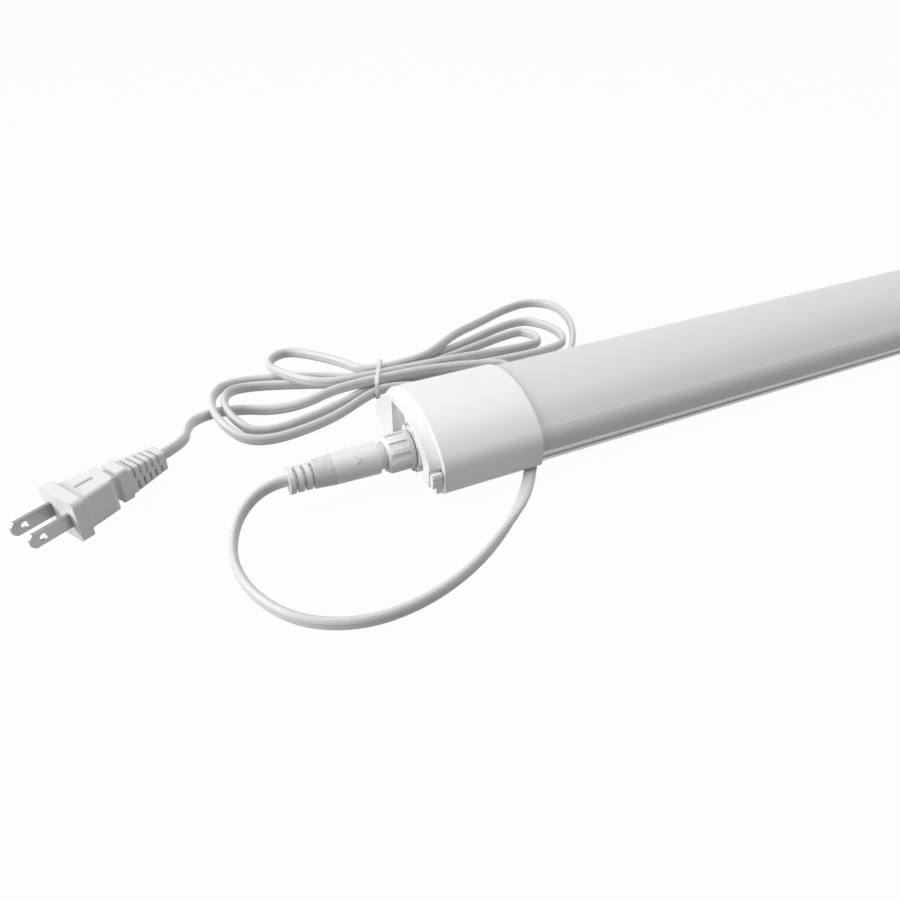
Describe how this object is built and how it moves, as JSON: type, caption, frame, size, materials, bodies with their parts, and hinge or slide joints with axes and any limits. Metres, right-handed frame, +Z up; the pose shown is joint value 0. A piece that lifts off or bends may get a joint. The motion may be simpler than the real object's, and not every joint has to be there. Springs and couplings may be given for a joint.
{
  "type": "hanging shop light",
  "caption": "Long white hanging LED shop light, diffuser up, lying on its sliding hanging clips, with a screw-on mains connector and a lead tied in loops.",
  "frame": {"origin": "middle of the light's length (without its lead) and width, on the surface that it lies on", "axes": "+X along the light, away from the lead's end; +Y across it, away from the viewer of the picture; +Z up, from the flat back to the crowned diffuser"},
  "size_m": [1.3585, 0.2182, 0.037],
  "materials": {
    "white_plastic": "satin",
    "aluminium": "satin",
    "diffuser": "frosted satin",
    "seal_rubber": "matte",
    "steel": "white painted sheet",
    "spring_steel": "bright",
    "board_white": "matte",
    "chip_yellow": "gloss",
    "board_green": "matte",
    "dark_plastic": "matte",
    "wire": "satin",
    "brass": "bright",
    "nickel": "satin nickel",
    "cord_white": "satin"
  },
  "bodies": {
    "housing": {"base_channel": "aluminium", "diffuser": "diffuser", "led_tray": "steel", "tray_screws": "steel", "led_board_near": "board_white", "led_board_far": "board_white", "led_chips": "chip_yellow", "board_link_wires": "wire", "driver_case": "dark_plastic", "driver_board": "board_green", "driver_transformer": "dark_plastic", "driver_input_capacitor": "dark_plastic", "driver_output_capacitor": "dark_plastic", "input_wires": "wire", "output_wires": "wire", "end_sleeve_near": "white_plastic", "end_sleeve_far": "white_plastic", "end_plug_near": "white_plastic", "end_plug_far": "white_plastic", "end_gasket_near": "seal_rubber", "end_gasket_far": "seal_rubber", "inlet_socket": "white_plastic", "inlet_pins": "brass", "inlet_seal": "seal_rubber", "inlet_back_nut": "steel", "connector_seal": "seal_rubber", "connector_body": "white_plastic", "connector_contacts": "brass", "plug_body": "white_plastic", "plug_blade_front": "nickel", "plug_blade_back": "nickel", "hank_tie": "cord_white", "cord_front_loop": "cord_white", "cord_plug_lead": "cord_white", "cord_hank": "cord_white"},
    "clip_near": {"hanging_clip_near": "spring_steel"},
    "clip_far": {"hanging_clip_far": "spring_steel"},
    "bail_near": {"hanging_bail_near": "spring_steel"},
    "bail_far": {"hanging_bail_far": "spring_steel"},
    "nut_carrier": {"nut_ring": "white_plastic"},
    "nut": {"coupling_nut": "white_plastic"}
  },
  "joints": [
    {"name": "clip_near_slide", "type": "slide", "parent": "housing", "child": "clip_near", "axis": [1, 0, 0], "range_m": [-0.155, 0.205]},
    {"name": "bail_near_swing", "type": "hinge", "parent": "clip_near", "child": "bail_near", "pos_m": [-0.275, 0, 0.0024], "axis": [0, 1, 0], "range_deg": [-6, 180]},
    {"name": "clip_far_slide", "type": "slide", "parent": "housing", "child": "clip_far", "axis": [1, 0, 0], "range_m": [-0.205, 0.262]},
    {"name": "bail_far_swing", "type": "hinge", "parent": "clip_far", "child": "bail_far", "pos_m": [0.275, 0, 0.0024], "axis": [0, -1, 0], "range_deg": [-6, 180]},
    {"name": "nut_slide", "type": "slide", "parent": "housing", "child": "nut_carrier", "axis": [-1, 0, 0], "range_m": [0, 0.003]},
    {"name": "nut_turn", "type": "hinge", "parent": "nut_carrier", "child": "nut", "pos_m": [-0.6015, -0.006, 0.0148], "axis": [-1, 0, 0], "range_deg": [0, 541]}
  ],
  "couplings": [
    {"joint": "nut_turn", "follows": "nut_slide", "rad_per_m": 3141.6}
  ]
}
